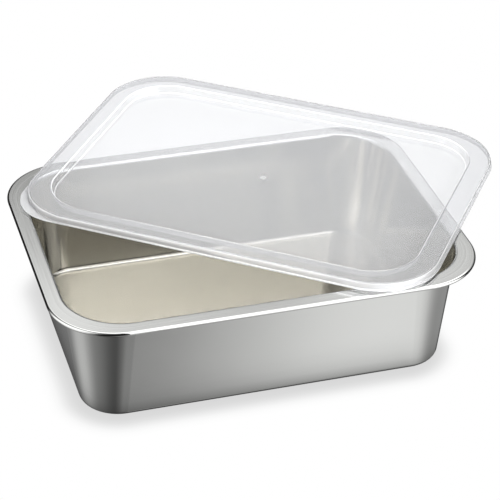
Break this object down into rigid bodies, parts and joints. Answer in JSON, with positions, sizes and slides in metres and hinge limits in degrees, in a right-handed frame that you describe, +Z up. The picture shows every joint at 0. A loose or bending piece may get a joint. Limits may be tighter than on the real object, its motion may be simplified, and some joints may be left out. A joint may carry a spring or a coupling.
{
  "type": "dough proofing container",
  "caption": "Deep-drawn rectangular steel pan with a flat, rolled-edge rim, and a translucent moulded lid with a sunk panel that lies askew on the rim and lifts off.",
  "frame": {"origin": "middle of the pan's flat base, on the surface it stands on", "axes": "+X along the pan's long side, +Y away from the front, +Z up towards the open mouth"},
  "size_m": [0.3817, 0.352, 0.0954],
  "materials": {
    "satin_steel": "satin drawn stainless steel, brighter on the rolled edge and the edge of the opening",
    "clear_plastic": "thin milky translucent polypropylene, smooth"
  },
  "bodies": {
    "pan": {"steel_pan": "satin_steel"},
    "lid": {"plastic_lid": "clear_plastic"}
  },
  "joints": [
    {"name": "lid_lift", "type": "slide", "parent": "pan", "child": "lid", "axis": [0, 0, 1], "range_m": [0, 0.12]}
  ]
}
